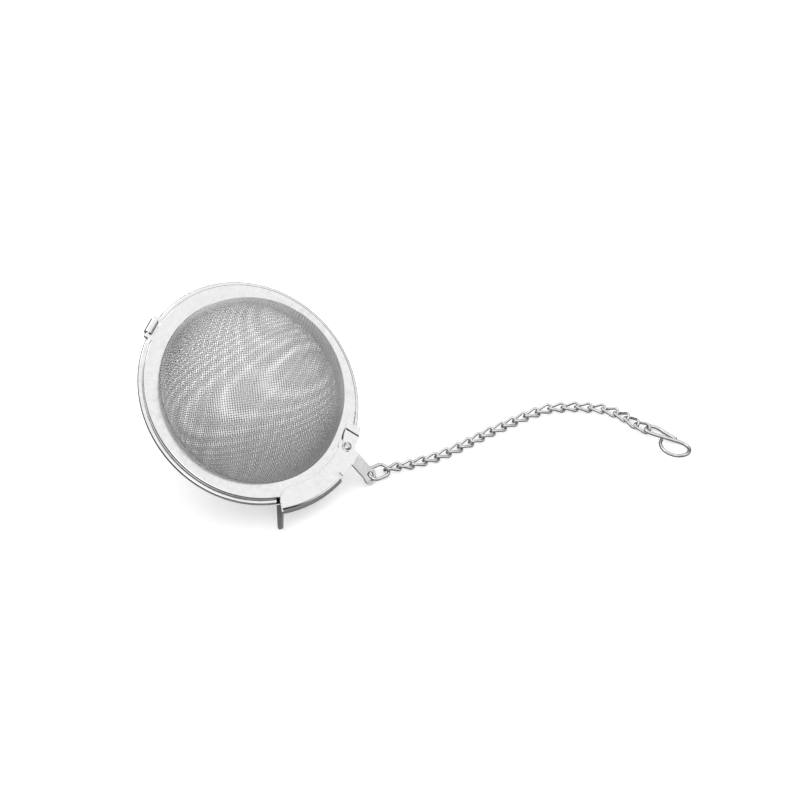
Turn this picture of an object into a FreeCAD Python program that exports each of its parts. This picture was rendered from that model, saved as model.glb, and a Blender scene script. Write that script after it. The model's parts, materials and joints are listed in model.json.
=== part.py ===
import FreeCAD, Part
import math
import os
import re
import Sketcher
from FreeCAD import Placement, Rotation, Vector

# A tea infuser: two domes of woven mesh in folded steel rims that close on each other,
# a hinge at the back, a spring latch that snaps over both rims, and a chain with a hook.
#
# The ball is modelled in the ring frame: its origin is the middle of the bore, Z is the
# normal of the parting plane, the hinge is at +Y, and the bottom half is below z = 0.
# The whole infuser lies on its side on a table, so each piece is then turned into place.

# Driving sizes, in millimetres and degrees: name, value and what it is.
SIZES = (
    # The two rims
    ("rim_bore", 25.0, "inner radius of both folded rims"),
    ("rim_thickness", 1.1, "height of a rim from face to face"),
    ("rim_sheet", 0.35, "sheet that the rims are folded from"),
    ("parting_gap", 0.05, "air between the closed rims"),
    # The two mesh domes
    ("mesh_play", 0.1, "gap between a dome and the bore of its rim"),
    ("flange_play", 0.02, "gap on each side of the flange in the fold"),
    ("dome_depth", 23.3, "height of a dome above its parting face"),
    ("mesh_sheet", 0.15, "solid shell that stands for the woven mesh"),
    # The hinge
    ("hinge_overhang", 0.3, "hinge axis outside the edge of the bottom rim"),
    ("hinge_play", 0.07, "radial gap between the bar and the curl"),
    ("hinge_sheet", 0.5, "sheet of the curled tab"),
    ("tab_width", 4.0, "width of the curled tab"),
    ("tab_side_play", 0.3, "gap between the tab and each rail"),
    ("tab_lap", 0.9, "how far the tab's tail runs in under the axis"),
    ("curl_end", 200.0, "angle where the curl stops, from outwards"),
    ("rail_width", 1.0, "width of each rail that carries the hinge bar"),
    ("slot_inset", 0.25, "how far the slot for the tab cuts into the top rim"),
    # The rivet
    ("rivet_angle", -88.0, "place of the latch rivet round the ring"),
    ("rivet_shank", 0.6, "radius of the shank"),
    ("rivet_fit", 0.02, "gap round the shank in the rim and the bracket"),
    ("lever_fit", 0.08, "gap round the shank in the lever"),
    ("rivet_recess", 0.05, "how far the shank stops above the parting face"),
    ("rivet_head", 1.15, "radius of the domed head"),
    ("rivet_crown", 0.5, "height of the domed head"),
    ("ear_radius", 1.7, "rounded ear of the top rim under the rivet"),
    # The bracket over the lever
    ("bracket_sheet", 0.5, "sheet of the bracket"),
    ("bracket_span", 13.0, "angle from the rivet to the welded end"),
    ("bracket_foot", 1.73, "length of the foot that is welded down"),
    ("bracket_ramp", 0.9, "length of the step up to the tongue"),
    ("tongue_radius", 1.35, "rounded tongue round the rivet"),
    ("shoulder_inner", 5.5, "angle where the inner edge narrows"),
    ("shoulder_outer", 4.5, "angle where the outer edge narrows"),
    # The latch lever
    ("lever_lift", 0.05, "gap under the lever and over it"),
    ("lever_sheet", 0.5, "sheet of the lever"),
    ("boss_radius", 2.2, "rounded end round the rivet"),
    ("neck_start", 2.0, "angle from the rivet to the neck"),
    ("notch_start", 13.8, "angle where the relief notch starts"),
    ("notch_end", 15.5, "angle where the notch ends and the channel starts"),
    ("lever_span", 49.6, "angle from the rivet to the lever's far end"),
    ("heel_start", 39.0, "angle where the far inner corner starts to round"),
    ("heel_radius", 4.5, "radius of that corner"),
    ("channel_radius", 1.725, "outer radius of the channel's section"),
    ("lip_play", 0.12, "gap between the channel's lip and the edge of the bottom rim"),
    ("channel_lap", 0.3, "overlap of the channel and the plate"),
    # The thumb tab: heights along the ring's normal
    ("thumb_foot", -1.2, "height of the lower corner at the root"),
    ("thumb_knee_height", 1.3, "height of the upper corner"),
    ("thumb_tip_height", -1.5, "height of the tip's upper corner"),
    ("thumb_toe_height", -4.2, "height of the tip's lower corner"),
    ("thumb_round", 0.8, "rounding of the tip's corners"),
    # The arm that carries the chain
    ("arm_angle", 3.3, "angle from the rivet to the arm"),
    ("arm_half_width", 1.85, "half of the arm's width"),
    ("arm_drop", 27.0, "angle that the arm is bent down"),
    ("arm_reach", 6.7, "length from the bend to the middle of the eye"),
    ("eye_radius", 2.2, "rounded tip round the eye"),
    ("eye_hole", 1.2, "radius of the eye"),
    # The chain
    ("ring_wire", 0.85, "wire of the jump ring"),
    ("ring_bend", 1.85, "end radius of the jump ring's centre line"),
    ("ring_half_length", 3.1, "half length of the jump ring's centre line"),
    ("ring_rest", 1.2, "height of the jump ring's far end above the table"),
    ("link_wire", 0.75, "wire of a curb link"),
    ("link_bend", 1.2, "end radius of a link's centre line"),
    ("link_half_length", 2.2, "half length of a link's centre line"),
    ("link_twist", 90.0, "twist from one end of a link to the other"),
    ("wire_gap", 0.05, "air between two wires that hang in each other"),
    ("hook_wire", 0.95, "wire of the hook"),
    # How the infuser lies on the table
    ("lie_heading", -49.85, "turn of the tilted ball on the table"),
    ("lie_tilt", 36.4, "angle between the parting plane and the table"),
    ("lie_spin", 119.25, "turn of the ball about its own normal"),
)

# Radii of the ring, each given as its distance outside the bore: name, distance and what it is.
OUTSIDE_BORE = (
    ("bottom_rim_edge", 5.3, "outer radius of the bottom rim"),
    ("top_rim_edge", 4.2, "outer radius of the top rim"),
    ("mesh_flange_edge", 2.5, "outer radius of the flange held in the fold"),
    ("rivet_circle", 3.86, "radius of the rivet's place"),
    ("bracket_inner", 1.8, "inner radius of the bracket"),
    ("bracket_outer", 5.8, "outer radius of the bracket"),
    ("lever_inner", 2.2, "inner radius of the lever's plate"),
    ("neck_outer", 7.3, "outer radius beside the arm"),
    ("notch_floor", 6.0, "radius of the notch's floor"),
    ("heel_edge", 4.7, "radius where the rounding meets the far end"),
    ("channel_circle", 6.475, "radius of the middle of the half-round channel"),
    ("thumb_root", 5.9, "radius where the tab starts"),
    ("thumb_knee", 8.0, "radius of the upper corner"),
    ("thumb_tip", 11.6, "radius of the tip's upper corner"),
    ("thumb_toe", 11.3, "radius of the tip's lower corner"),
    ("arm_root", 4.9, "radius where the arm starts"),
    ("arm_bend", 7.4, "radius where the arm bends down"),
)
NAMES = {name for name, number, note in SIZES + OUTSIDE_BORE}

# Heading and roll, in degrees, of each curb link as the chain lies on the table.
LINK_TURNS = (
    (20.0, -14.0), (17.0, -6.0), (19.0, 0.0), (28.0, 0.0), (31.0, 0.0), (34.0, 0.0),
    (36.0, 0.0), (36.5, 0.0), (36.0, 0.0), (32.0, 0.0), (35.0, 0.0), (33.5, 0.0),
    (29.0, 0.0), (21.0, 0.0), (8.0, 0.0), (1.0, 0.0), (-3.0, 0.0), (-11.0, 0.0),
    (-24.0, 0.0), (-40.0, 2.0), (-47.0, 12.0), (-34.0, 23.0),
)
RING_TURN = (42.0, 20.0)
HOOK_TURN = (-24.5, -12.0)

# The hook's wire on the table, from its tip round the open loop to its small eye. The
# origin is in the wire of the eye that the last link hangs in.
HOOK_ROUTE = (
    (5.2, -2.5), (5.5, -4.8), (7.6, -7.6), (11.2, -7.9), (13.6, -5.0), (13.0, -1.6),
    (10.6, -0.35), (5.6, -1.0), (2.2, -1.45), (-0.1, -1.3), (0.0, 1.95), (2.3, 2.5),
    (4.5, 1.4), (8.4, 0.25),
)

UP = Vector(0, 0, 1)

doc = FreeCAD.newDocument("TeaInfuser")
sheet = doc.addObject("Spreadsheet::Sheet", "Sizes")
for row, (name, number, note) in enumerate(SIZES + OUTSIDE_BORE, start=1):
    sheet.set(f"A{row}", name)
    sheet.set(f"B{row}", str(number) if row <= len(SIZES) else f"=rim_bore + {number}")
    sheet.setAlias(f"B{row}", name)
    sheet.set(f"C{row}", note)
doc.recompute()


def cells(expression):
    """The expression with each size's name written as its cell of the sheet."""
    return re.sub(r"[a-z_]+", lambda word: "Sizes." + word[0] if word[0] in NAMES else word[0],
                  expression)


def size(expression):
    """The number that an expression of the sheet's sizes gives."""
    return float(sheet.evalExpression(cells(expression)))


# ---------------------------------------------------------------- sketches and features

def new_body(name):
    """A body with the label that names its node."""
    body = doc.addObject("PartDesign::Body", name)
    body.Label = name
    return body


def sketch_on(body, role, name, offset=None, turn=None):
    """A sketch on one of the body's origin planes, moved or turned from it."""
    plane = [item for item in body.Origin.OriginFeatures if item.Role == role][0]
    sketch = body.newObject("Sketcher::SketchObject", name)
    sketch.AttachmentSupport = [(plane, "")]
    sketch.MapMode = "FlatFace"
    if turn:
        axis, angle = turn
        sketch.AttachmentOffset = Placement(Vector(), Rotation(axis, 1.0))
        sketch.setExpression("AttachmentOffset.Rotation.Angle", cells(angle))
    if offset:
        for letter, length in zip("xyz", offset):
            sketch.setExpression(f"AttachmentOffset.Base.{letter}", cells(length))
    return sketch


def arc_between(start, end, radius):
    """The short arc from start to end: to the left for a positive radius, else right."""
    middle = (start + end) * 0.5
    along = end - start
    left = Vector(-along.y, along.x, 0).normalize()
    rise = math.sqrt(max(radius * radius - along.Length ** 2 / 4, 0.0))
    side = 1.0 if radius > 0 else -1.0
    centre = middle + left * (rise * side)
    first, last = (start, end) if radius > 0 else (end, start)
    angles = [math.atan2(point.y - centre.y, point.x - centre.x) for point in (first, last)]
    circle = Part.Circle(centre, UP, abs(radius))
    return Part.ArcOfCircle(circle, angles[0], angles[1])


def outline(sketch, corners):
    """Draw a closed outline through corners of (x, y) or (x, y, radius of the next edge)."""
    points = [Vector(size(corner[0]), size(corner[1]), 0) for corner in corners]
    ends = []
    for place, corner in enumerate(corners):
        start = points[place]
        end = points[(place + 1) % len(points)]
        if len(corner) == 2:
            edge = sketch.addGeometry(Part.LineSegment(start, end))
            ends.append((edge, 1, 2))
            continue
        radius = size(corner[2])
        edge = sketch.addGeometry(arc_between(start, end, radius))
        ends.append((edge, 1, 2) if radius > 0 else (edge, 2, 1))
    for place, (edge, head, tail) in enumerate(ends):
        after, after_head, after_tail = ends[(place + 1) % len(ends)]
        sketch.addConstraint(Sketcher.Constraint("Coincident", edge, tail, after, after_head))
    for place, corner in enumerate(corners):
        edge, head, tail = ends[place]
        for kind, expression in (("DistanceX", corner[0]), ("DistanceY", corner[1])):
            number = size(expression)
            index = sketch.addConstraint(Sketcher.Constraint(kind, edge, head, number))
            sketch.setExpression(f"Constraints[{index}]", cells(expression))
        if len(corner) == 3:
            index = sketch.addConstraint(
                Sketcher.Constraint("Radius", edge, abs(size(corner[2]))))
            sketch.setExpression(f"Constraints[{index}]", cells(f"abs({corner[2]})"))


def disc(sketch, x, y, radius):
    """Draw a full circle whose centre and radius are expressions."""
    centre = Vector(size(x), size(y), 0)
    edge = sketch.addGeometry(Part.Circle(centre, UP, size(radius)))
    rules = (
        (("DistanceX", edge, 3, centre.x), x),
        (("DistanceY", edge, 3, centre.y), y),
        (("Radius", edge, size(radius)), radius),
    )
    for rule, expression in rules:
        index = sketch.addConstraint(Sketcher.Constraint(*rule))
        sketch.setExpression(f"Constraints[{index}]", cells(expression))


def revolve(body, sketch, name, angle="360", backwards=False):
    """Turn a sketch about its own upright axis."""
    feature = body.newObject("PartDesign::Revolution", name)
    feature.Profile = sketch
    feature.ReferenceAxis = (sketch, ["V_Axis"])
    feature.Reversed = backwards
    feature.setExpression("Angle", cells(angle))
    return feature


def pad(body, sketch, name, length, symmetric=False):
    """Give a sketch a thickness, to one side or to both."""
    feature = body.newObject("PartDesign::Pad", name)
    feature.Profile = sketch
    feature.SideType = "Symmetric" if symmetric else "One side"
    feature.setExpression("Length", cells(length))
    return feature


def pocket(body, sketch, name, length):
    """Cut a sketch out of the body, half of the length to each side."""
    feature = body.newObject("PartDesign::Pocket", name)
    feature.Profile = sketch
    feature.SideType = "Symmetric"
    feature.setExpression("Length", cells(length))
    return feature


def polar(radius, angle):
    """The two expressions of a point on a circle about the ring's middle."""
    return f"({radius}) * cos({angle})", f"({radius}) * sin({angle})"


# ---------------------------------------------------------------- the rims and the domes

HINGE_HEIGHT = "(parting_gap + rim_thickness / 2)"
HINGE_CIRCLE = "(bottom_rim_edge + hinge_overhang)"
BAR_RADIUS = "(rim_thickness / 2)"
CURL_INNER = f"({BAR_RADIUS} + hinge_play)"
CURL_OUTER = f"({CURL_INNER} + hinge_sheet)"
TOP_FACE = "(parting_gap + rim_thickness)"
LEVER_LOW = f"({TOP_FACE} + lever_lift)"
LEVER_TOP = f"({LEVER_LOW} + lever_sheet)"
TONGUE_LOW = f"({LEVER_TOP} + lever_lift)"
TONGUE_TOP = f"({TONGUE_LOW} + bracket_sheet)"


def rim_section(body, edge, low):
    """A flat ring with a round outer edge."""
    sketch = sketch_on(body, "XZ_Plane", body.Name + "_section")
    half = "rim_thickness / 2"
    outline(sketch, (
        ("rim_bore", f"{low}"),
        (f"{edge} - {half}", f"{low}", half),
        (edge, f"{low} + {half}", half),
        (f"{edge} - {half}", f"{low} + rim_thickness"),
        ("rim_bore", f"{low} + rim_thickness"),
    ))
    revolve(body, sketch, body.Name + "_ring")


def cut_fold(body, low):
    """Open the ring inwards, between its two sheets, for the flange of the mesh."""
    sketch = sketch_on(body, "XZ_Plane", body.Name + "_fold_section")
    inside = "rim_bore - rim_thickness"
    groove = "mesh_flange_edge + flange_play"
    outline(sketch, (
        (inside, f"{low} + rim_sheet"),
        (groove, f"{low} + rim_sheet"),
        (groove, f"{low} + rim_thickness - rim_sheet"),
        (inside, f"{low} + rim_thickness - rim_sheet"),
    ))
    fold = body.newObject("PartDesign::Groove", body.Name + "_fold")
    fold.Profile = sketch
    fold.ReferenceAxis = (sketch, ["V_Axis"])
    fold.Angle = 360


def make_bottom_rim():
    """The wide rim, with the curled tab of the hinge."""
    body = new_body("bottom_rim")
    rim_section(body, "bottom_rim_edge", "-rim_thickness")
    sketch = sketch_on(body, "YZ_Plane", "tab_section")
    end_x = f"{HINGE_CIRCLE} + {{}} * cos(curl_end)"
    end_y = f"{HINGE_HEIGHT} + {{}} * sin(curl_end)"
    outline(sketch, (
        (f"{HINGE_CIRCLE} - tab_lap", f"{HINGE_HEIGHT} - {CURL_OUTER}"),
        (HINGE_CIRCLE, f"{HINGE_HEIGHT} - {CURL_OUTER}", CURL_OUTER),
        (f"{HINGE_CIRCLE} + {CURL_OUTER}", HINGE_HEIGHT, CURL_OUTER),
        (HINGE_CIRCLE, f"{HINGE_HEIGHT} + {CURL_OUTER}", CURL_OUTER),
        (end_x.format(CURL_OUTER), end_y.format(CURL_OUTER)),
        (end_x.format(CURL_INNER), end_y.format(CURL_INNER), "-" + CURL_INNER),
        (HINGE_CIRCLE, f"{HINGE_HEIGHT} + {CURL_INNER}", "-" + CURL_INNER),
        (f"{HINGE_CIRCLE} + {CURL_INNER}", HINGE_HEIGHT, "-" + CURL_INNER),
        (HINGE_CIRCLE, f"{HINGE_HEIGHT} - {CURL_INNER}"),
        (f"{HINGE_CIRCLE} - tab_lap", f"{HINGE_HEIGHT} - {CURL_INNER}"),
    ))
    pad(body, sketch, "tab", "tab_width", symmetric=True)
    cut_fold(body, "-rim_thickness")
    return body


def make_top_rim():
    """The narrow rim, with the rails and bar of the hinge and the ear of the latch."""
    body = new_body("top_rim")
    rim_section(body, "top_rim_edge", "parting_gap")
    slot_half = "(tab_width / 2 + tab_side_play)"
    rail_outside = f"2 * ({slot_half} + rail_width)"

    rails = sketch_on(body, "YZ_Plane", "rail_section")
    root = "top_rim_edge - rim_thickness"
    outline(rails, (
        (root, "parting_gap"),
        (HINGE_CIRCLE, "parting_gap", BAR_RADIUS),
        (f"{HINGE_CIRCLE} + {BAR_RADIUS}", HINGE_HEIGHT, BAR_RADIUS),
        (HINGE_CIRCLE, TOP_FACE),
        (root, TOP_FACE),
    ))
    pad(body, rails, "rails", rail_outside, symmetric=True)

    slot = sketch_on(body, "XY_Plane", "slot_outline", offset=("0", "0", HINGE_HEIGHT))
    inner = "top_rim_edge - slot_inset"
    outer = f"{HINGE_CIRCLE} + rim_thickness"
    outline(slot, (
        ("-" + slot_half, inner),
        (slot_half, inner),
        (slot_half, outer),
        ("-" + slot_half, outer),
    ))
    pocket(body, slot, "slot", "2 * rim_thickness")

    bar = sketch_on(body, "YZ_Plane", "bar_section")
    disc(bar, HINGE_CIRCLE, HINGE_HEIGHT, BAR_RADIUS)
    pad(body, bar, "bar", rail_outside, symmetric=True)

    ear = sketch_on(body, "XY_Plane", "ear_outline", offset=("0", "0", "parting_gap"))
    rivet = polar("rivet_circle", "rivet_angle")
    disc(ear, *rivet, "ear_radius")
    pad(body, ear, "ear", "rim_thickness")
    cut_fold(body, "parting_gap")

    hole = sketch_on(body, "XY_Plane", "rivet_hole_outline")
    disc(hole, *rivet, "rivet_shank + rivet_fit")
    pocket(body, hole, "rivet_hole", "4 * rim_thickness")
    return body


def make_mesh(name, face, side):
    """A dome and its flange. Side is -1 for the bottom one and 1 for the top one."""
    body = new_body(name)
    sketch = sketch_on(body, "XZ_Plane", name + "_section")
    base = "(rim_bore - mesh_play)"
    ball = f"(({base} ^ 2 + dome_depth ^ 2) / (2 * dome_depth))"
    flange = "(rim_thickness - 2 * rim_sheet - 2 * flange_play)"
    inside = f"({ball} - mesh_sheet)"
    centre = f"({face} + ({side}) * (dome_depth - {ball}))"
    far = f"({face} + ({side}) * (rim_thickness + {flange}) / 2)"
    near = f"({face} + ({side}) * (rim_thickness - {flange}) / 2)"
    outline(sketch, (
        ("0", f"{face} + ({side}) * dome_depth", f"{-side} * {ball}"),
        (f"sqrt({ball} ^ 2 - ({centre} - {far}) ^ 2)", far),
        ("mesh_flange_edge", far),
        ("mesh_flange_edge", near),
        (f"sqrt({inside} ^ 2 - ({centre} - {near}) ^ 2)", near, f"{side} * {inside}"),
        ("0", f"{face} + ({side}) * (dome_depth - mesh_sheet)"),
    ))
    revolve(body, sketch, name + "_shell")
    return body


# ---------------------------------------------------------------- the latch
# These bodies are drawn with the rivet on the X axis, and their placement turns them.

def make_rivet():
    """The rivet that the lever turns on."""
    body = new_body("latch_rivet")
    sketch = sketch_on(body, "XZ_Plane", "rivet_section")
    low = "parting_gap + rivet_recess"
    outline(sketch, (
        ("0", low),
        ("rivet_shank", low),
        ("rivet_shank", TONGUE_TOP),
        ("rivet_head", TONGUE_TOP, "(rivet_head ^ 2 + rivet_crown ^ 2) / (2 * rivet_crown)"),
        ("0", f"{TONGUE_TOP} + rivet_crown"),
    ))
    revolve(body, sketch, "rivet_turned")
    return body


def make_bracket():
    """The joggled bracket: its foot is welded to the top rim, its tongue holds the rivet."""
    body = new_body("latch_bracket")
    plan = sketch_on(body, "XY_Plane", "bracket_outline", offset=("0", "0", TOP_FACE))
    outline(plan, (
        (*polar("bracket_outer", "shoulder_outer"), "bracket_outer"),
        polar("bracket_outer", "bracket_span"),
        (*polar("bracket_inner", "bracket_span"), "-bracket_inner"),
        polar("bracket_inner", "shoulder_inner"),
        ("rivet_circle - tongue_radius", "0", "tongue_radius"),
        ("rivet_circle", "-tongue_radius", "tongue_radius"),
        ("rivet_circle + tongue_radius", "0"),
    ))
    pad(body, plan, "bracket_block", f"{TONGUE_TOP} - {TOP_FACE}")

    side = sketch_on(body, "YZ_Plane", "bracket_side", offset=("0", "0", "rivet_circle"))
    foot = "(rivet_circle * sin(bracket_span) - bracket_foot)"
    step = f"({foot} - bracket_ramp)"
    beyond = "rivet_circle * sin(bracket_span) + bracket_foot"
    outline(side, (
        (foot, f"{TOP_FACE} + bracket_sheet"),
        (beyond, f"{TOP_FACE} + bracket_sheet"),
        (beyond, f"{TONGUE_TOP} + bracket_sheet"),
        (step, f"{TONGUE_TOP} + bracket_sheet"),
        (step, TONGUE_TOP),
    ))
    pocket(body, side, "over_the_foot", "4 * (bracket_outer - bracket_inner)")

    under = sketch_on(body, "YZ_Plane", "tongue_side", offset=("0", "0", "rivet_circle"))
    outline(under, (
        (step, TONGUE_LOW),
        ("-2 * tongue_radius", TONGUE_LOW),
        ("-2 * tongue_radius", f"{TOP_FACE} - bracket_sheet"),
        (foot, f"{TOP_FACE} - bracket_sheet"),
        (foot, TOP_FACE),
    ))
    pocket(body, under, "under_the_tongue", "4 * (bracket_outer - bracket_inner)")

    hole = sketch_on(body, "XY_Plane", "bracket_hole_outline", offset=("0", "0", TONGUE_TOP))
    disc(hole, "rivet_circle", "0", "rivet_shank + rivet_fit")
    pocket(body, hole, "bracket_hole", "4 * bracket_sheet")
    return body


def make_lever():
    """The latch: a plate, the channel that grips both rims, a thumb tab and the chain's arm."""
    body = new_body("latch_lever")
    upright = Vector(0, 1, 0)

    plan = sketch_on(body, "XY_Plane", "plate_outline", offset=("0", "0", LEVER_LOW))
    outline(plan, (
        (*polar("lever_inner", "-heel_start"), "lever_inner"),
        polar("lever_inner", "0"),
        (*polar("neck_outer", "-neck_start"), "-neck_outer"),
        polar("neck_outer", "-notch_start"),
        (*polar("notch_floor", "-notch_start"), "-notch_floor"),
        polar("notch_floor", "-notch_end"),
        (*polar("channel_circle", "-notch_end"), "-channel_circle"),
        polar("channel_circle", "-lever_span"),
        (*polar("heel_edge", "-lever_span"), "-heel_radius"),
    ))
    pad(body, plan, "plate", "lever_sheet")

    boss = sketch_on(body, "XY_Plane", "boss_outline", offset=("0", "0", LEVER_LOW))
    disc(boss, "rivet_circle", "0", "boss_radius")
    pad(body, boss, "boss", "lever_sheet")

    channel = sketch_on(body, "XZ_Plane", "channel_section", turn=(upright, "-notch_end"))
    middle = f"({LEVER_TOP} - channel_radius)"
    inner = "(channel_radius - lever_sheet)"
    outline(channel, (
        ("channel_circle - channel_lap", LEVER_TOP),
        ("channel_circle", LEVER_TOP, "-channel_radius"),
        ("channel_circle + channel_radius", middle, "-channel_radius"),
        ("channel_circle", f"{middle} - channel_radius"),
        ("bottom_rim_edge + lip_play", f"{middle} - channel_radius"),
        ("bottom_rim_edge + lip_play", f"{middle} - {inner}"),
        ("channel_circle", f"{middle} - {inner}", inner),
        (f"channel_circle + {inner}", middle, inner),
        ("channel_circle", f"{middle} + {inner}"),
        ("channel_circle - channel_lap", f"{middle} + {inner}"),
    ))
    revolve(body, channel, "channel", "lever_span - notch_end", backwards=True)

    thumb = sketch_on(body, "XZ_Plane", "thumb_outline", turn=(upright, "-lever_span"))
    outline(thumb, (
        ("thumb_root", LEVER_TOP),
        ("thumb_root", "thumb_foot"),
        ("thumb_toe", "thumb_toe_height"),
        ("thumb_tip", "thumb_tip_height"),
        ("thumb_knee", "thumb_knee_height"),
    ))
    pad(body, thumb, "thumb_tab", "lever_sheet", symmetric=True)

    arm = sketch_on(body, "XZ_Plane", "arm_side", turn=(upright, "-arm_angle"))
    mitre = "lever_sheet * tan(arm_drop / 2)"
    end_x = "(arm_bend + arm_reach * cos(arm_drop))"
    end_y = f"({LEVER_LOW} - arm_reach * sin(arm_drop))"
    outline(arm, (
        ("arm_root", LEVER_LOW),
        ("arm_bend", LEVER_LOW),
        (end_x, end_y),
        (f"{end_x} + lever_sheet * sin(arm_drop)", f"{end_y} + lever_sheet * cos(arm_drop)"),
        (f"arm_bend + {mitre}", LEVER_TOP),
        ("arm_root", LEVER_TOP),
    ))
    pad(body, arm, "arm", "2 * arm_half_width", symmetric=True)

    eye = sketch_on(body, "XY_Plane", "eye_outline")
    eye.AttachmentOffset = eye_place()
    disc(eye, "0", "0", "eye_radius")
    pad(body, eye, "eye", "lever_sheet", symmetric=True)
    hole = sketch_on(body, "XY_Plane", "eye_hole_outline")
    hole.AttachmentOffset = eye_place()
    disc(hole, "0", "0", "eye_hole")
    pocket(body, hole, "eye_hole", "4 * lever_sheet")

    turning = sketch_on(body, "XY_Plane", "turning_hole_outline", offset=("0", "0", LEVER_LOW))
    disc(turning, "rivet_circle", "0", "rivet_shank + lever_fit")
    pocket(body, turning, "turning_hole", "4 * lever_sheet")

    doc.recompute()
    corners = (("thumb_toe", "thumb_toe_height"), ("thumb_tip", "thumb_tip_height"),
               ("thumb_knee", "thumb_knee_height"))
    turned = Rotation(UP, -size("lever_span"))
    places = [turned.multVec(Vector(size(x), 0, size(y))) for x, y in corners]
    square = body.Tip
    names = edges_near(square.Shape, places, size("lever_sheet"))
    fillet = body.newObject("PartDesign::Fillet", "thumb_corners")
    fillet.Base = (square, names)
    fillet.setExpression("Radius", cells("thumb_round"))
    body.Tip = fillet
    return body


def edges_near(shape, places, length):
    """The names of the straight edges of one length whose middles are at the places."""
    names = []
    for number, edge in enumerate(shape.Edges, start=1):
        middle = edge.CenterOfMass
        near = min((middle - place).Length for place in places)
        if near < 0.01 and abs(edge.Length - length) < 0.01:
            names.append(f"Edge{number}")
    return names


def eye_place():
    """The middle of the arm's eye, with Z along the hole, in the lever's own frame."""
    drop = size("arm_drop")
    reach = size("arm_reach")
    bend = Vector(size("arm_bend"), 0, size(LEVER_LOW))
    tilt = Rotation(Vector(0, 1, 0), drop)
    middle = bend + tilt.multVec(Vector(reach, 0, size("lever_sheet") / 2))
    turn = Rotation(UP, -size("arm_angle"))
    return Placement(turn.multVec(middle), turn.multiply(tilt))


# ---------------------------------------------------------------- bent wire

def rounded_route(points, closed, share=0.5):
    """Straight runs joined by tangent arcs, as large as the share of the runs allows."""
    count = len(points)
    edges = []
    starts = []
    corners = range(count) if closed else range(1, count - 1)
    for place in corners:
        before = points[place - 1] - points[place]
        after = points[(place + 1) % count] - points[place]
        trim = share * min(before.Length, after.Length)
        before.normalize()
        after.normalize()
        half = before.getAngle(after) / 2
        middle = (before + after).normalize()
        radius = trim * math.tan(half)
        crown = points[place] + middle * (radius / math.sin(half) - radius)
        start = points[place] + before * trim
        end = points[place] + after * trim
        starts.append((start, end))
        edges.append(Part.Arc(start, crown, end).toShape())
    path = []
    if not closed:
        starts.insert(0, (points[0], points[0]))
        starts.append((points[-1], points[-1]))
        edges.insert(0, None)
        edges.append(None)
    for place, edge in enumerate(edges):
        if edge:
            path.append(edge)
        if not closed and place == len(edges) - 1:
            break
        leave = starts[place][1]
        arrive = starts[(place + 1) % len(starts)][0]
        if (arrive - leave).Length > 1e-6:
            path.append(Part.LineSegment(leave, arrive).toShape())
    return path


def pipe_along(edges, radius):
    """Round wire along edges that follow each other."""
    start = edges[0].valueAt(edges[0].FirstParameter)
    along = edges[0].tangentAt(edges[0].FirstParameter)
    section = Part.Wire([Part.makeCircle(radius, start, along)])
    return Part.Wire(edges).makePipeShell([section], True, False)


def closed_pipe(edges, radius):
    """Round wire along a closed route, made in two halves that meet face to face."""
    half = len(edges) // 2
    whole = pipe_along(edges[:half], radius).fuse(pipe_along(edges[half:], radius))
    return whole.Solids[0]


def link_points(half_length, bend, twist):
    """Corners of an oval link's centre line, turned evenly from one end to the other."""
    steps = 6
    step = 180.0 / steps
    reach = bend / math.cos(math.radians(step / 2))
    points = []
    for sign in (1, -1):
        for number in range(steps):
            angle = math.radians(-90 + step * (number + 0.5))
            x = sign * (half_length - bend + reach * math.cos(angle))
            y = sign * reach * math.sin(angle)
            lean = math.radians(twist / 2) * x / half_length
            points.append(Vector(x, y * math.cos(lean), y * math.sin(lean)))
    return points


def wire_piece(name, shape, place):
    """An object of its own for a piece of bent wire."""
    piece = doc.addObject("Part::Feature", name)
    piece.Label = name
    piece.Shape = shape
    piece.Placement = place
    return piece


# ---------------------------------------------------------------- how the chain lies

def lowest(shape):
    """The height of the lowest point of a shape."""
    return shape.optimalBoundingBox(False, False).ZMin


def tilted(heading, roll, slope):
    """The turn of a link: rolled about its length, sloped down, then turned."""
    turn = Rotation(UP, heading)
    lean = Rotation(Vector(0, 1, 0), slope)
    return turn.multiply(lean).multiply(Rotation(Vector(1, 0, 0), roll))


def end_direction(half_twist):
    """The direction of the wire at an end of a link, in the link's own frame."""
    angle = math.radians(half_twist)
    return Vector(0, math.cos(angle), math.sin(angle))


def hang(parent_end, parent_wire, parent_radius, child):
    """Where a child's near wire lies when it hangs in its parent's far wire."""
    half = child["half_length"]
    slope = 0.0
    for step in range(8):
        turn = tilted(child["heading"], child["roll"], slope)
        own_wire = turn.multVec(end_direction(-child["half_twist"]))
        across = parent_wire.cross(own_wire).normalize()
        along = turn.multVec(Vector(1, 0, 0))
        if across.dot(along) > 0:
            across = across * -1.0
        reach = size("wire_gap") + parent_radius + child["wire"]
        near = parent_end + across * reach
        fall = (near.z - child["rest"]) / (2 * half)
        slope = math.degrees(math.asin(max(-0.9, min(0.9, fall))))
    turn = tilted(child["heading"], child["roll"], slope)
    middle = near + turn.multVec(Vector(half, 0, 0))
    return Placement(middle, turn)


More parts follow.
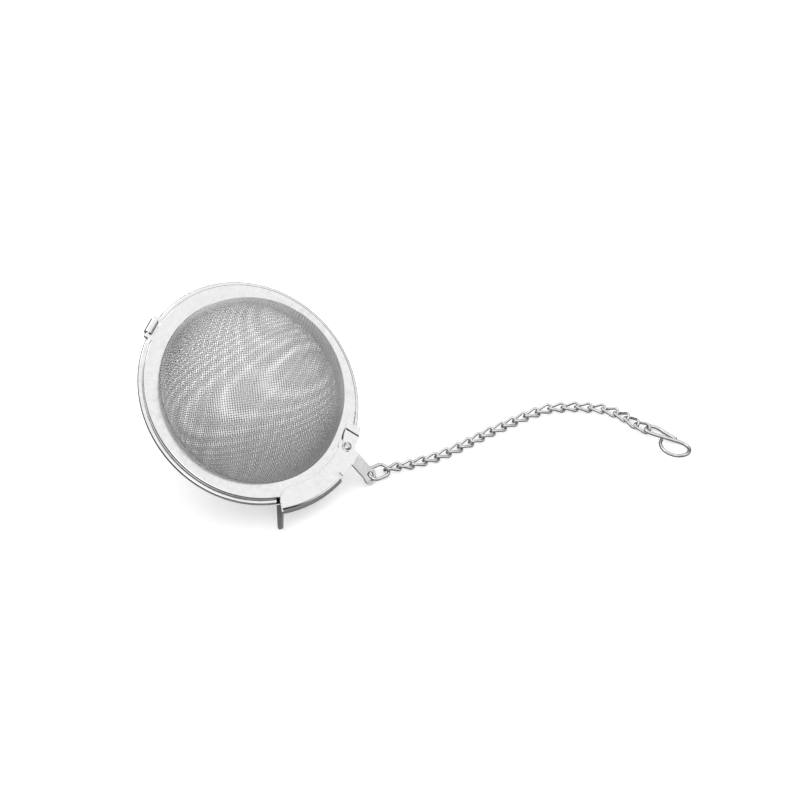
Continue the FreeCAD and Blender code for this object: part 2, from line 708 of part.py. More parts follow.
def make_chain(eye):
    """The jump ring, the curb links and the hook, each hanging in the one before."""
    ring_radius = size("ring_wire") / 2
    ring_half = size("ring_half_length")
    ring_shape = closed_pipe(
        rounded_route(link_points(ring_half, size("ring_bend"), 0.0), True), ring_radius)
    heading, roll = RING_TURN
    fall = (eye.z - size("ring_rest")) / (2 * ring_half)
    turn = tilted(heading, roll, math.degrees(math.asin(fall)))
    middle = eye + turn.multVec(Vector(ring_half, 0, 0))
    place = Placement(middle, turn)
    pieces = [wire_piece("jump_ring", ring_shape, place)]

    link_radius = size("link_wire") / 2
    half = size("link_half_length")
    half_twist = size("link_twist") / 2
    shape = closed_pipe(
        rounded_route(link_points(half, size("link_bend"), size("link_twist")), True),
        link_radius)
    link_height = -lowest(shape)
    parent_end = place.multVec(Vector(ring_half, 0, 0))
    parent_wire = turn.multVec(end_direction(0.0))
    parent_radius = ring_radius
    for number, (heading, roll) in enumerate(LINK_TURNS, start=1):
        child = {
            "half_length": half,
            "half_twist": half_twist,
            "wire": link_radius,
            "heading": heading,
            "roll": roll,
            "rest": link_height,
        }
        for settling in range(4):
            place = hang(parent_end, parent_wire, parent_radius, child)
            child["rest"] -= lowest(shape.transformed(place.Matrix))
        pieces.append(wire_piece(f"chain_link_{number:02d}", shape, place))
        parent_end = place.multVec(Vector(half, 0, 0))
        parent_wire = place.Rotation.multVec(end_direction(half_twist))
        parent_radius = link_radius

    hook_radius = size("hook_wire") / 2
    route = [Vector(x, y, 0) for x, y in HOOK_ROUTE]
    wire = pipe_along(rounded_route(route, False), hook_radius)
    reach = wire.optimalBoundingBox(False, False).XMax - hook_radius
    heading, roll = HOOK_TURN
    child = {
        "half_length": reach / 2,
        "half_twist": 0.0,
        "wire": hook_radius,
        "heading": heading,
        "roll": roll,
        "rest": hook_radius,
    }
    for settling in range(4):
        place = hang(parent_end, parent_wire, parent_radius, child)
        place = Placement(place.multVec(Vector(-reach / 2, 0, 0)), place.Rotation)
        child["rest"] -= lowest(wire.transformed(place.Matrix))
    pieces.append(wire_piece("chain_hook", wire, place))
    return pieces


# ---------------------------------------------------------------- put together

bottom_rim = make_bottom_rim()
bottom_mesh = make_mesh("bottom_mesh", "0", -1)
top_rim = make_top_rim()
top_mesh = make_mesh("top_mesh", "parting_gap", 1)
bracket = make_bracket()
rivet = make_rivet()
lever = make_lever()
doc.recompute()

lie = tilted(size("lie_heading"), 0.0, size("lie_tilt"))
lie = lie.multiply(Rotation(UP, size("lie_spin")))
to_latch = Placement(Vector(), Rotation(UP, size("rivet_angle")))
to_rivet = Placement(Vector(size("rivet_circle"), 0, 0), Rotation())
own_frames = (
    (bottom_rim, Placement()),
    (bottom_mesh, Placement()),
    (top_rim, Placement()),
    (top_mesh, Placement()),
    (bracket, to_latch),
    (rivet, to_latch.multiply(to_rivet)),
    (lever, to_latch),
)

laid = Placement(Vector(), lie)
lowest_point = 0.0
for piece, frame in own_frames:
    piece.Placement = laid.multiply(frame)
    lowest_point = min(lowest_point, lowest(piece.Shape))
laid.Base = Vector(0, 0, -lowest_point)
for piece, frame in own_frames:
    piece.Placement = laid.multiply(frame)
eye = laid.multiply(to_latch).multiply(eye_place())

nodes = [piece for piece, frame in own_frames] + make_chain(eye.Base)
doc.recompute()

box = FreeCAD.BoundBox()
for piece in nodes:
    box.add(piece.Shape.optimalBoundingBox(False, False))
shift = Vector(-box.Center.x, -box.Center.y, -box.ZMin)
for piece in nodes:
    moved = piece.Placement
    moved.Base = moved.Base + shift
    piece.Placement = moved

doc.recompute()
for item in doc.Objects:
    if "Invalid" in item.State or "Error" in item.State:
        raise RuntimeError(f"{item.Label} did not build: {item.State}")
os.makedirs("parts", exist_ok=True)
for piece in nodes:
    shape = piece.Shape
    if shape.isNull() or not shape.isValid() or len(shape.Solids) != 1:
        raise RuntimeError(f"{piece.Label} is not one valid solid")
for piece in nodes:
    piece.Shape.exportStep(f"parts/{piece.Label}.step")
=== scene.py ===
"""Looks of the tea infuser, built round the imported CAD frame."""

import json
import logging
import math
from dataclasses import dataclass, field
from enum import Enum
from typing import Iterator

import bmesh
import bpy
from mathutils import Matrix, Vector


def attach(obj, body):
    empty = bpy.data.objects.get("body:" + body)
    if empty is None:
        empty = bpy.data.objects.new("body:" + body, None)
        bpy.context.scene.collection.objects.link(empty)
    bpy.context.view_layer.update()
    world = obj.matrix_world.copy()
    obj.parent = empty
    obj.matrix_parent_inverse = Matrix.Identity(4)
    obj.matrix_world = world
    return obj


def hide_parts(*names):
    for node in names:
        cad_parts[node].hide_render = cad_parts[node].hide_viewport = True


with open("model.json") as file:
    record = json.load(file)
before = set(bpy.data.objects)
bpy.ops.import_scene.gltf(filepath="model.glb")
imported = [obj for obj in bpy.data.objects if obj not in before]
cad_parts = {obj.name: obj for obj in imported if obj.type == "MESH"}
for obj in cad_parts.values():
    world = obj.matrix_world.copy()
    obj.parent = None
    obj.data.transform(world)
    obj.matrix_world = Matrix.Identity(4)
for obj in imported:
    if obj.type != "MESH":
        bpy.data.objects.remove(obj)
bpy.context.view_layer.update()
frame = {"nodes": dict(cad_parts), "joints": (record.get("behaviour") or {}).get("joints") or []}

MM = 0.001
LOG = logging.getLogger("tea_infuser")


class Side(Enum):
    """The two halves of the ball, by the side of the parting plane they are on."""

    BOTTOM = -1
    TOP = 1


class Slot(Enum):
    """Names of material slots for the new pieces; nothing in this script uses them, and the
    pieces get their materials passed in directly.
    """

    MESH = "mesh_steel"
    LATCH = "latch_steel"


# ------------------------------------------------------------------ the ring frame


@dataclass
class RingFrame:
    """The frame of the ball: its origin is the middle of the bore and Z is the ring's normal."""

    hinge_circle: float = 30.6 * MM
    hinge_height: float = 0.6 * MM

    def matrix(self) -> Matrix:
        """Work the frame out from the hinge and the latch.

        Returns:
            The matrix that takes a point of the ring frame to the row frame.
        """
        joints = {joint["name"]: joint for joint in frame["joints"]}
        hinge = joints["lid_hinge"]
        normal = Vector(joints["latch_swing"]["axis"]).normalized()
        across = -Vector(hinge["axis"]).normalized()
        away = normal.cross(across).normalized()
        origin = Vector(hinge["pos_m"]) - away * self.hinge_circle
        origin -= normal * self.hinge_height
        turn = Matrix((across, away, normal)).transposed().to_4x4()
        return Matrix.Translation(origin) @ turn


# ------------------------------------------------------------------ materials


class NodeGraph:
    """A short way to place and join the nodes of a shader tree."""

    def __init__(self, tree: bpy.types.NodeTree) -> None:
        """Keep the tree and empty it.

        Args:
            tree: The node tree to fill.
        """
        self.tree = tree
        self.tree.nodes.clear()

    def node(self, kind: str, **values: object) -> bpy.types.Node:
        """Add a node.

        Args:
            kind: The node's type, such as ShaderNodeMath.
            values: Settings of the node itself.

        Returns:
            The new node.
        """
        made = self.tree.nodes.new(kind)
        for name, value in values.items():
            setattr(made, name, value)
        return made

    def join(self, source: bpy.types.NodeSocket, target: bpy.types.NodeSocket) -> None:
        """Link one socket, the source, to another, the target."""
        self.tree.links.new(source, target)

    def feed(self, target: bpy.types.NodeSocket, value: object) -> None:
        """Give a socket a link or a constant, whichever the value is.

        Args:
            target: The socket that is fed.
            value: Another socket, or a constant.
        """
        if isinstance(value, bpy.types.NodeSocket):
            self.join(value, target)
        else:
            target.default_value = value

    def maths(self, operation: str, first: object, second: object = 0.0,
              clamp: bool = False) -> bpy.types.NodeSocket:
        """Add a Math node.

        Args:
            operation: What it does, such as MULTIPLY.
            first: The first socket or number.
            second: The second socket or number.
            clamp: Whether the result is kept between 0 and 1.

        Returns:
            The result's socket.
        """
        made = self.node("ShaderNodeMath", operation=operation, use_clamp=clamp)
        self.feed(made.inputs[0], first)
        self.feed(made.inputs[1], second)
        return made.outputs[0]

    def noise(self, place: object, scale: object, detail: float = 2.0,
              roughness: float = 0.5) -> bpy.types.NodeSocket:
        """Add a Noise texture and give its value.

        Args:
            place: The socket of the point.
            scale: The scale, a socket or a number.
            detail: How many octaves it has.
            roughness: How strong the small octaves are.

        Returns:
            The socket of the noise's value.
        """
        made = self.node("ShaderNodeTexNoise")
        self.feed(made.inputs["Vector"], place)
        self.feed(made.inputs["Scale"], scale)
        made.inputs["Detail"].default_value = detail
        made.inputs["Roughness"].default_value = roughness
        return made.outputs[0]

    def spread(self, value: object, low: float, high: float, first: float = 0.0,
               last: float = 1.0) -> bpy.types.NodeSocket:
        """Stretch a range of values to another, and clamp it.

        Args:
            value: The socket of the value.
            low: The value that becomes first.
            high: The value that becomes last.
            first: The result at low.
            last: The result at high.

        Returns:
            The socket of the result.
        """
        made = self.node("ShaderNodeMapRange")
        self.feed(made.inputs["Value"], value)
        made.inputs["From Min"].default_value = low
        made.inputs["From Max"].default_value = high
        made.inputs["To Min"].default_value = first
        made.inputs["To Max"].default_value = last
        return made.outputs["Result"]


class HandledSteel:
    """The node group for steel that has been polished, used and wiped."""

    NAME = "handled_steel"
    INPUTS = (
        ("Vector", "NodeSocketVector", None),
        ("Along", "NodeSocketVector", None),
        ("Roughness", "NodeSocketFloat", 0.2),
        ("Grain", "NodeSocketFloat", 0.05),
        ("Smudge", "NodeSocketFloat", 0.1),
        ("Mottle", "NodeSocketFloat", 0.1),
        ("Steel", "NodeSocketColor", (0.7, 0.7, 0.7, 1.0)),
        ("Tarnish", "NodeSocketColor", (0.4, 0.4, 0.4, 1.0)),
    )
    OUTPUTS = (
        ("Color", "NodeSocketColor"),
        ("Roughness", "NodeSocketFloat"),
        ("Height", "NodeSocketFloat"),
    )
    MARK_STRETCH = (9000.0, 260.0, 9000.0)
    CLOUD_SCALE = 190.0
    PRINT_SCALE = 620.0
    FINE_SCALE = 5200.0
    WIPED_DULLNESS = 0.15
    FINE_HEIGHT = 0.02

    def build(self) -> bpy.types.NodeTree:
        """Make the group once.

        Returns:
            The node group. Vector is the plain point and Along is the point in the
            coordinates of the polishing marks, which run along its second axis.
        """
        tree = bpy.data.node_groups.new(self.NAME, "ShaderNodeTree")
        for name, kind, value in self.INPUTS:
            socket = tree.interface.new_socket(name, in_out="INPUT", socket_type=kind)
            if value is not None:
                socket.default_value = value
        for name, kind in self.OUTPUTS:
            tree.interface.new_socket(name, in_out="OUTPUT", socket_type=kind)
        graph = NodeGraph(tree)
        given = graph.node("NodeGroupInput").outputs
        result = graph.node("NodeGroupOutput").inputs

        stretch = graph.node("ShaderNodeVectorMath", operation="MULTIPLY")
        graph.join(given["Along"], stretch.inputs[0])
        stretch.inputs[1].default_value = self.MARK_STRETCH
        marks = graph.noise(stretch.outputs[0], 1.0, 3.0, 0.6)
        cloud = graph.noise(given["Vector"], self.CLOUD_SCALE, 3.0, 0.55)
        prints = graph.noise(given["Vector"], self.PRINT_SCALE, 4.0, 0.65)
        fine = graph.noise(given["Vector"], self.FINE_SCALE)

        soft = graph.spread(cloud, 0.42, 0.66)
        wiped = graph.maths("MULTIPLY", soft, graph.spread(prints, 0.35, 0.7))
        blur = graph.maths("MULTIPLY", wiped, given["Smudge"])
        lines = graph.maths("MULTIPLY", graph.spread(marks, 0.3, 0.7, -0.5, 0.5), given["Grain"])
        rough = graph.maths("ADD", given["Roughness"], blur)
        rough = graph.maths("ADD", rough, lines, clamp=True)
        graph.join(rough, result["Roughness"])

        dull = graph.maths("MULTIPLY", graph.spread(prints, 0.3, 0.75), given["Mottle"])
        wear = graph.maths("MULTIPLY", wiped, self.WIPED_DULLNESS)
        dull = graph.maths("ADD", dull, wear, clamp=True)
        tone = graph.node("ShaderNodeMix", data_type="RGBA")
        graph.join(dull, tone.inputs["Factor"])
        graph.join(given["Steel"], tone.inputs[6])
        graph.join(given["Tarnish"], tone.inputs[7])
        graph.join(tone.outputs[2], result["Color"])

        grain = graph.maths("MULTIPLY", marks, given["Grain"])
        height = graph.maths("ADD", grain, graph.maths("MULTIPLY", fine, self.FINE_HEIGHT))
        graph.join(height, result["Height"])
        return tree


@dataclass(frozen=True)
class SteelFinish:
    """One finish of stainless steel.

    Attributes:
        name: The material's name.
        steel: Its clean colour, as three numbers.
        tarnish: The colour of its duller patches.
        roughness: How rough it is where it is clean.
        grain: How strong its polishing marks are.
        smudge: How much rougher its handled patches are.
        mottle: How visible its duller patches are.
        relief: How deep the marks are in the bump, from 0 to 1.
        turned: Whether the marks run round the ring instead of along the piece.
    """

    name: str
    steel: tuple[float, float, float]
    tarnish: tuple[float, float, float]
    roughness: float
    grain: float
    smudge: float
    mottle: float
    relief: float
    turned: bool = False


RIM_FINISH = SteelFinish("polished_rim", (0.90, 0.90, 0.90), (0.66, 0.66, 0.67),
                         0.11, 0.10, 0.14, 0.40, 0.10, turned=True)
MESH_FINISH = SteelFinish("woven_wire", (0.82, 0.82, 0.825), (0.54, 0.54, 0.55),
                          0.52, 0.20, 0.10, 0.4, 0.10)
LATCH_FINISH = SteelFinish("stamped_latch", (0.90, 0.90, 0.90), (0.68, 0.68, 0.69),
                           0.11, 0.08, 0.12, 0.35, 0.10, turned=True)
RIVET_FINISH = SteelFinish("rivet_head", (0.78, 0.78, 0.78), (0.45, 0.45, 0.46),
                           0.22, 0.08, 0.18, 0.5, 0.12)
CHAIN_FINISH = SteelFinish("drawn_wire", (0.80, 0.80, 0.80), (0.42, 0.42, 0.43),
                           0.16, 0.12, 0.14, 0.4, 0.10)


@dataclass
class SteelShop:
    """Makes the steel materials, with one group that they share.

    Attributes:
        ring: The matrix from the ring frame to the row frame.
        mean_radius: The radius at which the marks round the ring keep their length.
        mark_depth: How deep a full mark is in the bump.
        group: The shared node group.
    """

    ring: Matrix
    mean_radius: float = 28.0 * MM
    mark_depth: float = 0.02 * MM
    group: bpy.types.NodeTree = field(init=False)

    def __post_init__(self) -> None:
        """Build the shared group."""
        self.group = HandledSteel().build()

    def ring_coordinates(self, graph: NodeGraph,
                         place: bpy.types.NodeSocket) -> bpy.types.NodeSocket:
        """Give each point its radius, its way round the ring and its height.

        Args:
            graph: The material's nodes.
            place: The Object coordinates.

        Returns:
            The socket of the vector, in metres.
        """
        location, turn, _ = self.ring.decompose()
        centred = graph.node("ShaderNodeMapping", vector_type="TEXTURE")
        centred.inputs["Location"].default_value = location
        centred.inputs["Rotation"].default_value = turn.to_euler()
        graph.join(place, centred.inputs["Vector"])
        parts = graph.node("ShaderNodeSeparateXYZ")
        graph.join(centred.outputs[0], parts.inputs[0])
        x, y, z = parts.outputs
        square = graph.maths("ADD", graph.maths("MULTIPLY", x, x), graph.maths("MULTIPLY", y, y))
        radius = graph.maths("SQRT", square)
        way = graph.maths("MULTIPLY", graph.maths("ARCTAN2", y, x), self.mean_radius)
        joined = graph.node("ShaderNodeCombineXYZ")
        graph.join(radius, joined.inputs[0])
        graph.join(way, joined.inputs[1])
        graph.join(z, joined.inputs[2])
        return joined.outputs[0]

    def make(self, finish: SteelFinish) -> bpy.types.Material:
        """Make the material of a finish.

        Args:
            finish: The finish.

        Returns:
            The material.
        """
        material = bpy.data.materials.new(finish.name)
        material.use_nodes = True
        graph = NodeGraph(material.node_tree)
        place = graph.node("ShaderNodeTexCoord").outputs["Object"]
        along = self.ring_coordinates(graph, place) if finish.turned else place
        worn = graph.node("ShaderNodeGroup")
        worn.node_tree = self.group
        graph.join(place, worn.inputs["Vector"])
        graph.join(along, worn.inputs["Along"])
        worn.inputs["Roughness"].default_value = finish.roughness
        worn.inputs["Grain"].default_value = finish.grain
        worn.inputs["Smudge"].default_value = finish.smudge
        worn.inputs["Mottle"].default_value = finish.mottle
        worn.inputs["Steel"].default_value = (*finish.steel, 1.0)
        worn.inputs["Tarnish"].default_value = (*finish.tarnish, 1.0)
        bump = graph.node("ShaderNodeBump")
        bump.inputs["Strength"].default_value = finish.relief
        bump.inputs["Distance"].default_value = self.mark_depth
        graph.join(worn.outputs["Height"], bump.inputs["Height"])
        metal = graph.node("ShaderNodeBsdfPrincipled")
        metal.inputs["Metallic"].default_value = 1.0
        graph.join(worn.outputs["Color"], metal.inputs["Base Color"])
        graph.join(worn.outputs["Roughness"], metal.inputs["Roughness"])
        graph.join(bump.outputs["Normal"], metal.inputs["Normal"])
        out = graph.node("ShaderNodeOutputMaterial")
        graph.join(metal.outputs[0], out.inputs["Surface"])
        return material


# ------------------------------------------------------------------ the woven domes


@dataclass
class WovenDome:
    """A dome pressed from woven wire, with its edge bent out into the fold of a rim.

    Attributes:
        side: The half of the ball that it belongs to.
        material: Its finish.
        ring: The matrix from the ring frame to the row frame.
        edge_radius: The radius of the dome where it meets the parting plane.
        depth: The height of the dome over its own half's face.
        parting: How far the top half's face is above the bottom half's.
        flange_height: The height of the flange over that face.
        flange_run: The width of the flange.
        pitch: The distance between two wires.
        wire: The thickness of a wire.
        lay: The turn of the weave about the ring's normal.
    """

    side: Side
    material: bpy.types.Material
    ring: Matrix
    edge_radius: float = 24.85 * MM
    depth: float = 23.06 * MM
    parting: float = 0.05 * MM
    flange_height: float = 0.55 * MM
    flange_run: float = 1.6 * MM
    pitch: float = 0.66 * MM
    wire: float = 0.19 * MM
    lay: float = math.radians(38.0)

    def ball(self) -> tuple[float, float, float]:
        """Work out the sphere that the dome is a part of.

        Returns:
            Its radius, the height of its middle, and the angle from the pole at which
            the dome ends and the flange starts.
        """
        radius = (self.edge_radius ** 2 + self.depth ** 2) / (2 * self.depth)
        centre = self.depth - radius
        return radius, centre, math.acos((self.flange_height - centre) / radius)

    def surface(self, across: float, along: float) -> tuple[Vector, Vector]:
        """Find where a point of the flat weave comes to lie in the pressed dome.

        Args:
            across: The flat point's first coordinate, from the middle.
            along: Its second coordinate.

        Returns:
            The point and the outward normal there, in the ring frame.
        """
        sign = self.side.value
        ball, centre, last = self.ball()
        face = self.parting if self.side is Side.TOP else 0.0
        run = math.hypot(across, along)
        turn = math.atan2(along, across) + self.lay
        angle = min(run / ball, last)
        beyond = max(run - last * ball, 0.0)
        radius = ball * math.sin(angle) + beyond
        height = centre + ball * math.cos(angle)
        direction = Vector((math.cos(turn), math.sin(turn), 0.0))
        point = direction * radius
        point.z = face + sign * height
        if beyond > 0.0:
            return point, Vector((0.0, 0.0, sign))
        normal = direction * math.sin(angle)
        normal.z = sign * math.cos(angle)
        return point, normal

    def reach(self) -> float:
        """Give the length of a wire from the pole to the end of the flange."""
        ball, _, last = self.ball()
        return last * ball + self.flange_run

    def wires(self) -> Iterator[list[Vector]]:
        """Run every wire of both directions over and under the others.

        Yields:
            The points of one wire, one at each crossing, in the ring frame.
        """
        reach = self.reach()
        count = int(reach / self.pitch)
        lift = self.wire / 2
        for swapped in (False, True):
            for row in range(-count, count + 1):
                offset = row * self.pitch
                half = math.sqrt(max(reach ** 2 - offset ** 2, 0.0))
                steps = int(half / self.pitch)
                points = []
                for step in range(-steps, steps + 1):
                    pair = (step * self.pitch, offset)
                    place, normal = self.surface(*(reversed(pair) if swapped else pair))
                    over = 1 if (row + step) % 2 == 0 else -1
                    over = -over if swapped else over
                    points.append(place + normal * (over * lift))
                if len(points) > 2:
                    yield points

    def build(self, name: str) -> bpy.types.Object:
        """Weave the dome.

        Args:
            name: The piece's name.

        Returns:
            The mesh object, in the row frame.
        """
        curve = bpy.data.curves.new(name + "_wires", "CURVE")
        curve.dimensions = "3D"
        curve.bevel_depth = self.wire / 2
        curve.bevel_resolution = 0
        curve.use_fill_caps = True
        for points in self.wires():
            spline = curve.splines.new("POLY")
            spline.points.add(len(points) - 1)
            for knot, place in zip(spline.points, points):
                knot.co = (*(self.ring @ place), 1.0)
        holder = bpy.data.objects.new(name + "_wires", curve)
        bpy.context.collection.objects.link(holder)
        bpy.context.view_layer.update()
        graph = bpy.context.evaluated_depsgraph_get()
        mesh = bpy.data.meshes.new_from_object(holder.evaluated_get(graph))
        bpy.data.objects.remove(holder)
        mesh.name = name
        mesh.materials.clear()
        mesh.materials.append(self.material)
        mesh.shade_smooth()
        piece = bpy.data.objects.new(name, mesh)
        bpy.context.collection.objects.link(piece)
        return piece


# ------------------------------------------------------------------ the stamped pieces


@dataclass
class StampedPart:
    """A piece stamped from sheet, whose cut edges are broken by tumbling.

    Attributes:
        node: The CAD node that it stands for.
        body: The body that it rides on.
        material: Its finish.
        edge: How wide its broken edges are.
        merge: How near two points are that become one.
        flat: The angle under which two faces are one.
        sharp: The angle from which an edge is broken.
        smooth: The angle up to which two faces are shaded as one.
    """

    node: str
    body: str
    material: bpy.types.Material
    edge: float = 0.05 * MM
    merge: float = 0.0005 * MM
    flat: float = math.radians(0.5)
    sharp: float = math.radians(35.0)
    smooth: float = math.radians(24.0)

    def build(self) -> bpy.types.Object:
        """Break the edges of a merged copy of the node.

        Returns:
            The mesh object, in the row frame.
        """
        made = bmesh.new()
        made.from_mesh(frame["nodes"][self.node].data)
        bmesh.ops.remove_doubles(made, verts=made.verts, dist=self.merge)
        bmesh.ops.dissolve_limit(made, angle_limit=self.flat, verts=made.verts,
                                 edges=made.edges)
        corners = [edge for edge in made.edges
                   if len(edge.link_faces) == 2 and edge.calc_face_angle(0.0) > self.sharp]
        bmesh.ops.bevel(made, geom=corners, offset=self.edge, affect="EDGES", segments=2,
                        profile=0.5, material=-1, clamp_overlap=True)
        mesh = bpy.data.meshes.new(self.node + "_finished")
        made.to_mesh(mesh)
        made.free()
        mesh.materials.append(self.material)
        mesh.shade_smooth()
        mesh.set_sharp_from_angle(angle=self.smooth)
        piece = bpy.data.objects.new(mesh.name, mesh)
        bpy.context.collection.objects.link(piece)
        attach(piece, self.body)
        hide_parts(self.node)
        return piece


# ------------------------------------------------------------------ the studio


@dataclass(frozen=True)
class SoftLamp:
    """A soft square lamp.

    Attributes:
        name: Its name.
        place: Where it hangs, from the floor under the infuser.
        size: The length of its side.
        power: Its power in watts.
    """

    name: str
    place: tuple[float, float, float]
    size: float
    power: float


LAMPS = (
    SoftLamp("key", (-0.6, 0.5, 0.9), 0.8, 1.2),
    SoftLamp("fill", (0.2, -0.9, 0.6), 0.6, 0.8),
)


@dataclass
class Studio:
    """The pale floor, the soft light and the camera.

    Attributes:
        ring: The matrix from the ring frame to the row frame.
        elevation: The camera's height in degrees.
        lens: Its focal length.
        sensor: The width of its sensor.
        view_width: The width of the view at the ball.
        right_of_ball: How far the view's middle is to the right of the ball's.
        below_ball: How far it is below the ball's.
        clip_start: The nearest distance that the camera sees.
        floor_reach: Half the side of the floor.
        floor_colour: The floor's paint.
        floor_glow: The light that the floor adds, which keeps its shadows faint.
        mirrored_reach: Where the floor that steel mirrors starts and stops darkening.
        mirrored_tones: That floor's tones, near the ball and away from it.
        card_edges: Where the white card at the right starts and is full.
        room_low: The height at which the room's tones start.
    """

    ROOM_STOPS = ((0.0, 0.01), (0.34, 0.01), (0.44, 0.75), (0.6, 1.0), (0.78, 1.0), (0.9, 1.0))

    ring: Matrix
    elevation: float = 41.0
    lens: float = 150.0
    sensor: float = 36.0
    view_width: float = 206.4 * MM
    right_of_ball: float = 38.7 * MM
    below_ball: float = 2.06 * MM
    clip_start: float = 0.01
    floor_reach: float = 3.0
    floor_colour: tuple[float, float, float, float] = (0.93, 0.93, 0.93, 1.0)
    floor_glow: float = 0.35
    mirrored_reach: tuple[float, float] = (0.06, 0.16)
    mirrored_tones: tuple[float, float] = (0.26, 0.02)
    card_edges: tuple[float, float] = (0.84, 0.93)
    room_low: float = -0.1

    def camera(self) -> bpy.types.Object:
        """Place the camera, a long lens that looks down at the infuser.

        Returns:
            The camera object.
        """
        lift = math.radians(self.elevation)
        right = Vector((1.0, 0.0, 0.0))
        up = Vector((0.0, math.sin(lift), math.cos(lift)))
        back = Vector((0.0, -math.cos(lift), math.sin(lift)))
        target = self.ring.translation + right * self.right_of_ball - up * self.below_ball
        distance = self.view_width * self.lens / self.sensor
        data = bpy.data.cameras.new("camera")
        data.lens = self.lens
        data.sensor_width = self.sensor
        data.clip_start = self.clip_start
        camera = bpy.data.objects.new("camera", data)
        bpy.context.collection.objects.link(camera)
        turn = Matrix((right, up, back)).transposed().to_4x4()
        camera.matrix_world = Matrix.Translation(target + back * distance) @ turn
        bpy.context.scene.camera = camera
        return camera

    def floor_paint(self) -> bpy.types.Material:
        """Mix the floor's paint, pale to the eye, and dark in steel except near the ball.

        Returns:
            The material.
        """
        material = bpy.data.materials.new("pale_floor")
        material.use_nodes = True
        graph = NodeGraph(material.node_tree)
        light = graph.node("ShaderNodeLightPath")
        pale = graph.node("ShaderNodeBsdfDiffuse")
        pale.inputs["Color"].default_value = self.floor_colour
        glow = graph.node("ShaderNodeEmission")
        glow.inputs["Strength"].default_value = self.floor_glow
        seen = graph.node("ShaderNodeAddShader")
        graph.join(pale.outputs[0], seen.inputs[0])
        graph.join(glow.outputs[0], seen.inputs[1])
        place = graph.node("ShaderNodeTexCoord").outputs["Object"]
        away = graph.node("ShaderNodeVectorMath", operation="LENGTH")
        graph.join(place, away.inputs[0])
        near = graph.spread(away.outputs["Value"], *self.mirrored_reach,
                            *self.mirrored_tones)
        mirrored = graph.node("ShaderNodeBsdfDiffuse")
        graph.join(near, mirrored.inputs["Color"])
        both = graph.node("ShaderNodeMixShader")
        graph.join(light.outputs["Is Glossy Ray"], both.inputs[0])
        graph.join(seen.outputs[0], both.inputs[1])
        graph.join(mirrored.outputs[0], both.inputs[2])
        out = graph.node("ShaderNodeOutputMaterial")
        graph.join(both.outputs[0], out.inputs["Surface"])
        return material

    def floor(self) -> bpy.types.Object:
        """Lay the plain pale floor.

        Returns:
            The floor object.
        """
        made = bmesh.new()
        bmesh.ops.create_grid(made, x_segments=1, y_segments=1, size=self.floor_reach)
        mesh = bpy.data.meshes.new("floor")
        made.to_mesh(mesh)
        made.free()
        mesh.materials.append(self.floor_paint())
        floor = bpy.data.objects.new("floor", mesh)
        bpy.context.collection.objects.link(floor)
        return floor

    def hang(self, lamp: SoftLamp) -> None:
        """Hang a lamp that faces the middle of the floor.

        Args:
            lamp: The lamp.
        """
        data = bpy.data.lights.new(lamp.name, "AREA")
        data.shape = "SQUARE"
        data.size = lamp.size
        data.energy = lamp.power
        hung = bpy.data.objects.new(lamp.name, data)
        bpy.context.collection.objects.link(hung)
        place = Vector(lamp.place)
        facing = place.normalized().to_track_quat("Z", "Y")
        hung.matrix_world = Matrix.Translation(place) @ facing.to_matrix().to_4x4()

    def room_seen_in_steel(self, graph: NodeGraph) -> bpy.types.NodeSocket:
        """Shade the room as steel mirrors it: dark low down, white above, a card at the right.

        Args:
            graph: The world's nodes.

        Returns:
            The socket of the colour.
        """
        place = graph.node("ShaderNodeTexCoord").outputs["Generated"]
        parts = graph.node("ShaderNodeSeparateXYZ")
        graph.join(place, parts.inputs[0])
        ramp = graph.node("ShaderNodeValToRGB")
        graph.join(graph.spread(parts.outputs[2], self.room_low, 1.0), ramp.inputs[0])
        stops = ramp.color_ramp
        while len(stops.elements) < len(self.ROOM_STOPS):
            stops.elements.new(0.5)
        for stop, (height, tone) in zip(stops.elements, self.ROOM_STOPS):
            stop.position = height
            stop.color = (tone, tone, tone, 1.0)
        card = graph.spread(parts.outputs[0], *self.card_edges)
        return graph.maths("MAXIMUM", ramp.outputs[0], card)

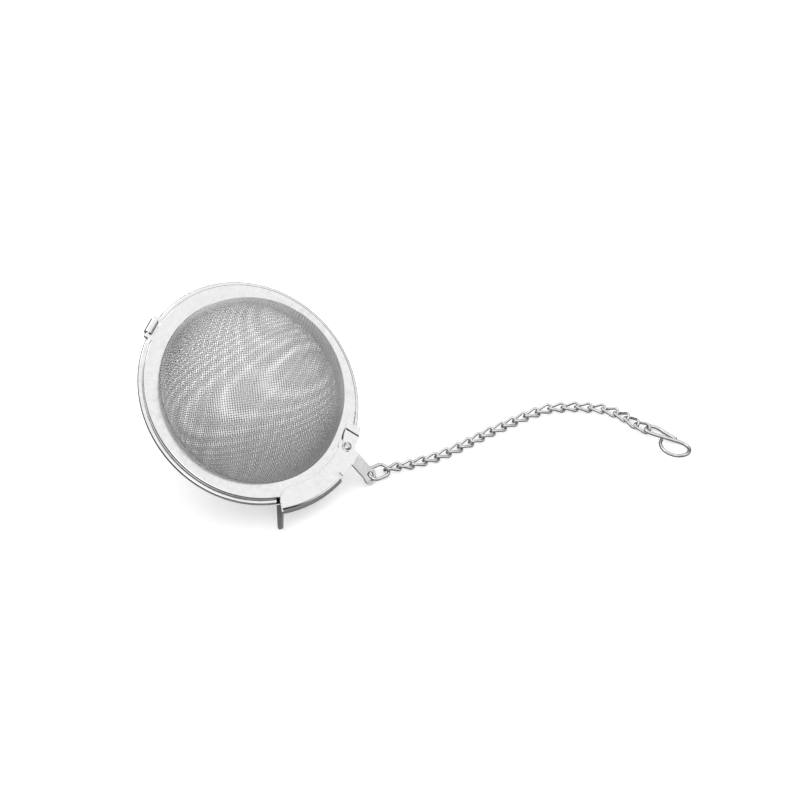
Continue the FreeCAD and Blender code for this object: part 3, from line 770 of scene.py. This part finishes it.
    def surroundings(self) -> None:
        """Light the room evenly, let the steel see its darker walls, and keep plain tones."""
        world = bpy.data.worlds.new("studio")
        bpy.context.scene.world = world
        world.use_nodes = True
        graph = NodeGraph(world.node_tree)
        even = graph.node("ShaderNodeBackground")
        even.inputs["Color"].default_value = (1.0, 1.0, 1.0, 1.0)
        even.inputs["Strength"].default_value = 1.0
        room = graph.node("ShaderNodeBackground")
        graph.join(self.room_seen_in_steel(graph), room.inputs["Color"])
        room.inputs["Strength"].default_value = 1.0
        light = graph.node("ShaderNodeLightPath")
        both = graph.node("ShaderNodeMixShader")
        graph.join(light.outputs["Is Glossy Ray"], both.inputs[0])
        graph.join(even.outputs[0], both.inputs[1])
        graph.join(room.outputs[0], both.inputs[2])
        out = graph.node("ShaderNodeOutputWorld")
        graph.join(both.outputs[0], out.inputs["Surface"])
        bpy.context.scene.view_settings.view_transform = "Standard"

    def build(self) -> None:
        """Set the whole studio up."""
        self.camera()
        self.floor()
        self.surroundings()
        for lamp in LAMPS:
            self.hang(lamp)


# ------------------------------------------------------------------ put together


@dataclass
class Infuser:
    """The whole infuser: the CAD pieces with their steel, and the woven domes."""

    ring: Matrix

    def dress(self, shop: SteelShop) -> None:
        """Give each CAD node its finish.

        Args:
            shop: The maker of the materials.
        """
        rim = shop.make(RIM_FINISH)
        latch = shop.make(LATCH_FINISH)
        chain = shop.make(CHAIN_FINISH)
        finishes = {
            "bottom_rim": rim,
            "top_rim": rim,
            "latch_bracket": latch,
            "latch_lever": latch,
            "latch_rivet": shop.make(RIVET_FINISH),
        }
        for name, node in frame["nodes"].items():
            node.data.materials.clear()
            node.data.materials.append(finishes.get(name, chain))
            LOG.info("dressed %s", name)
        for node, body in (("latch_bracket", "lid"), ("latch_lever", "latch")):
            piece = StampedPart(node, body, latch).build()
            LOG.info("finished %s, %d faces", piece.name, len(piece.data.polygons))

    def weave(self, shop: SteelShop) -> None:
        """Replace the plain shells of the domes with woven wire.

        Args:
            shop: The maker of the materials.
        """
        wire = shop.make(MESH_FINISH)
        for side, node, body in ((Side.BOTTOM, "bottom_mesh", "bottom_half"),
                                 (Side.TOP, "top_mesh", "lid")):
            dome = WovenDome(side, wire, self.ring).build(node + "_woven")
            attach(dome, body)
            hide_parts(node)
            LOG.info("wove %s, %d faces", dome.name, len(dome.data.polygons))


def main() -> None:
    """Build the infuser and its studio."""
    logging.basicConfig(level=logging.INFO, format="%(name)s: %(message)s")
    ring = RingFrame().matrix()
    shop = SteelShop(ring)
    infuser = Infuser(ring)
    infuser.dress(shop)
    infuser.weave(shop)
    Studio(ring).build()


if __name__ == "__main__":
    main()
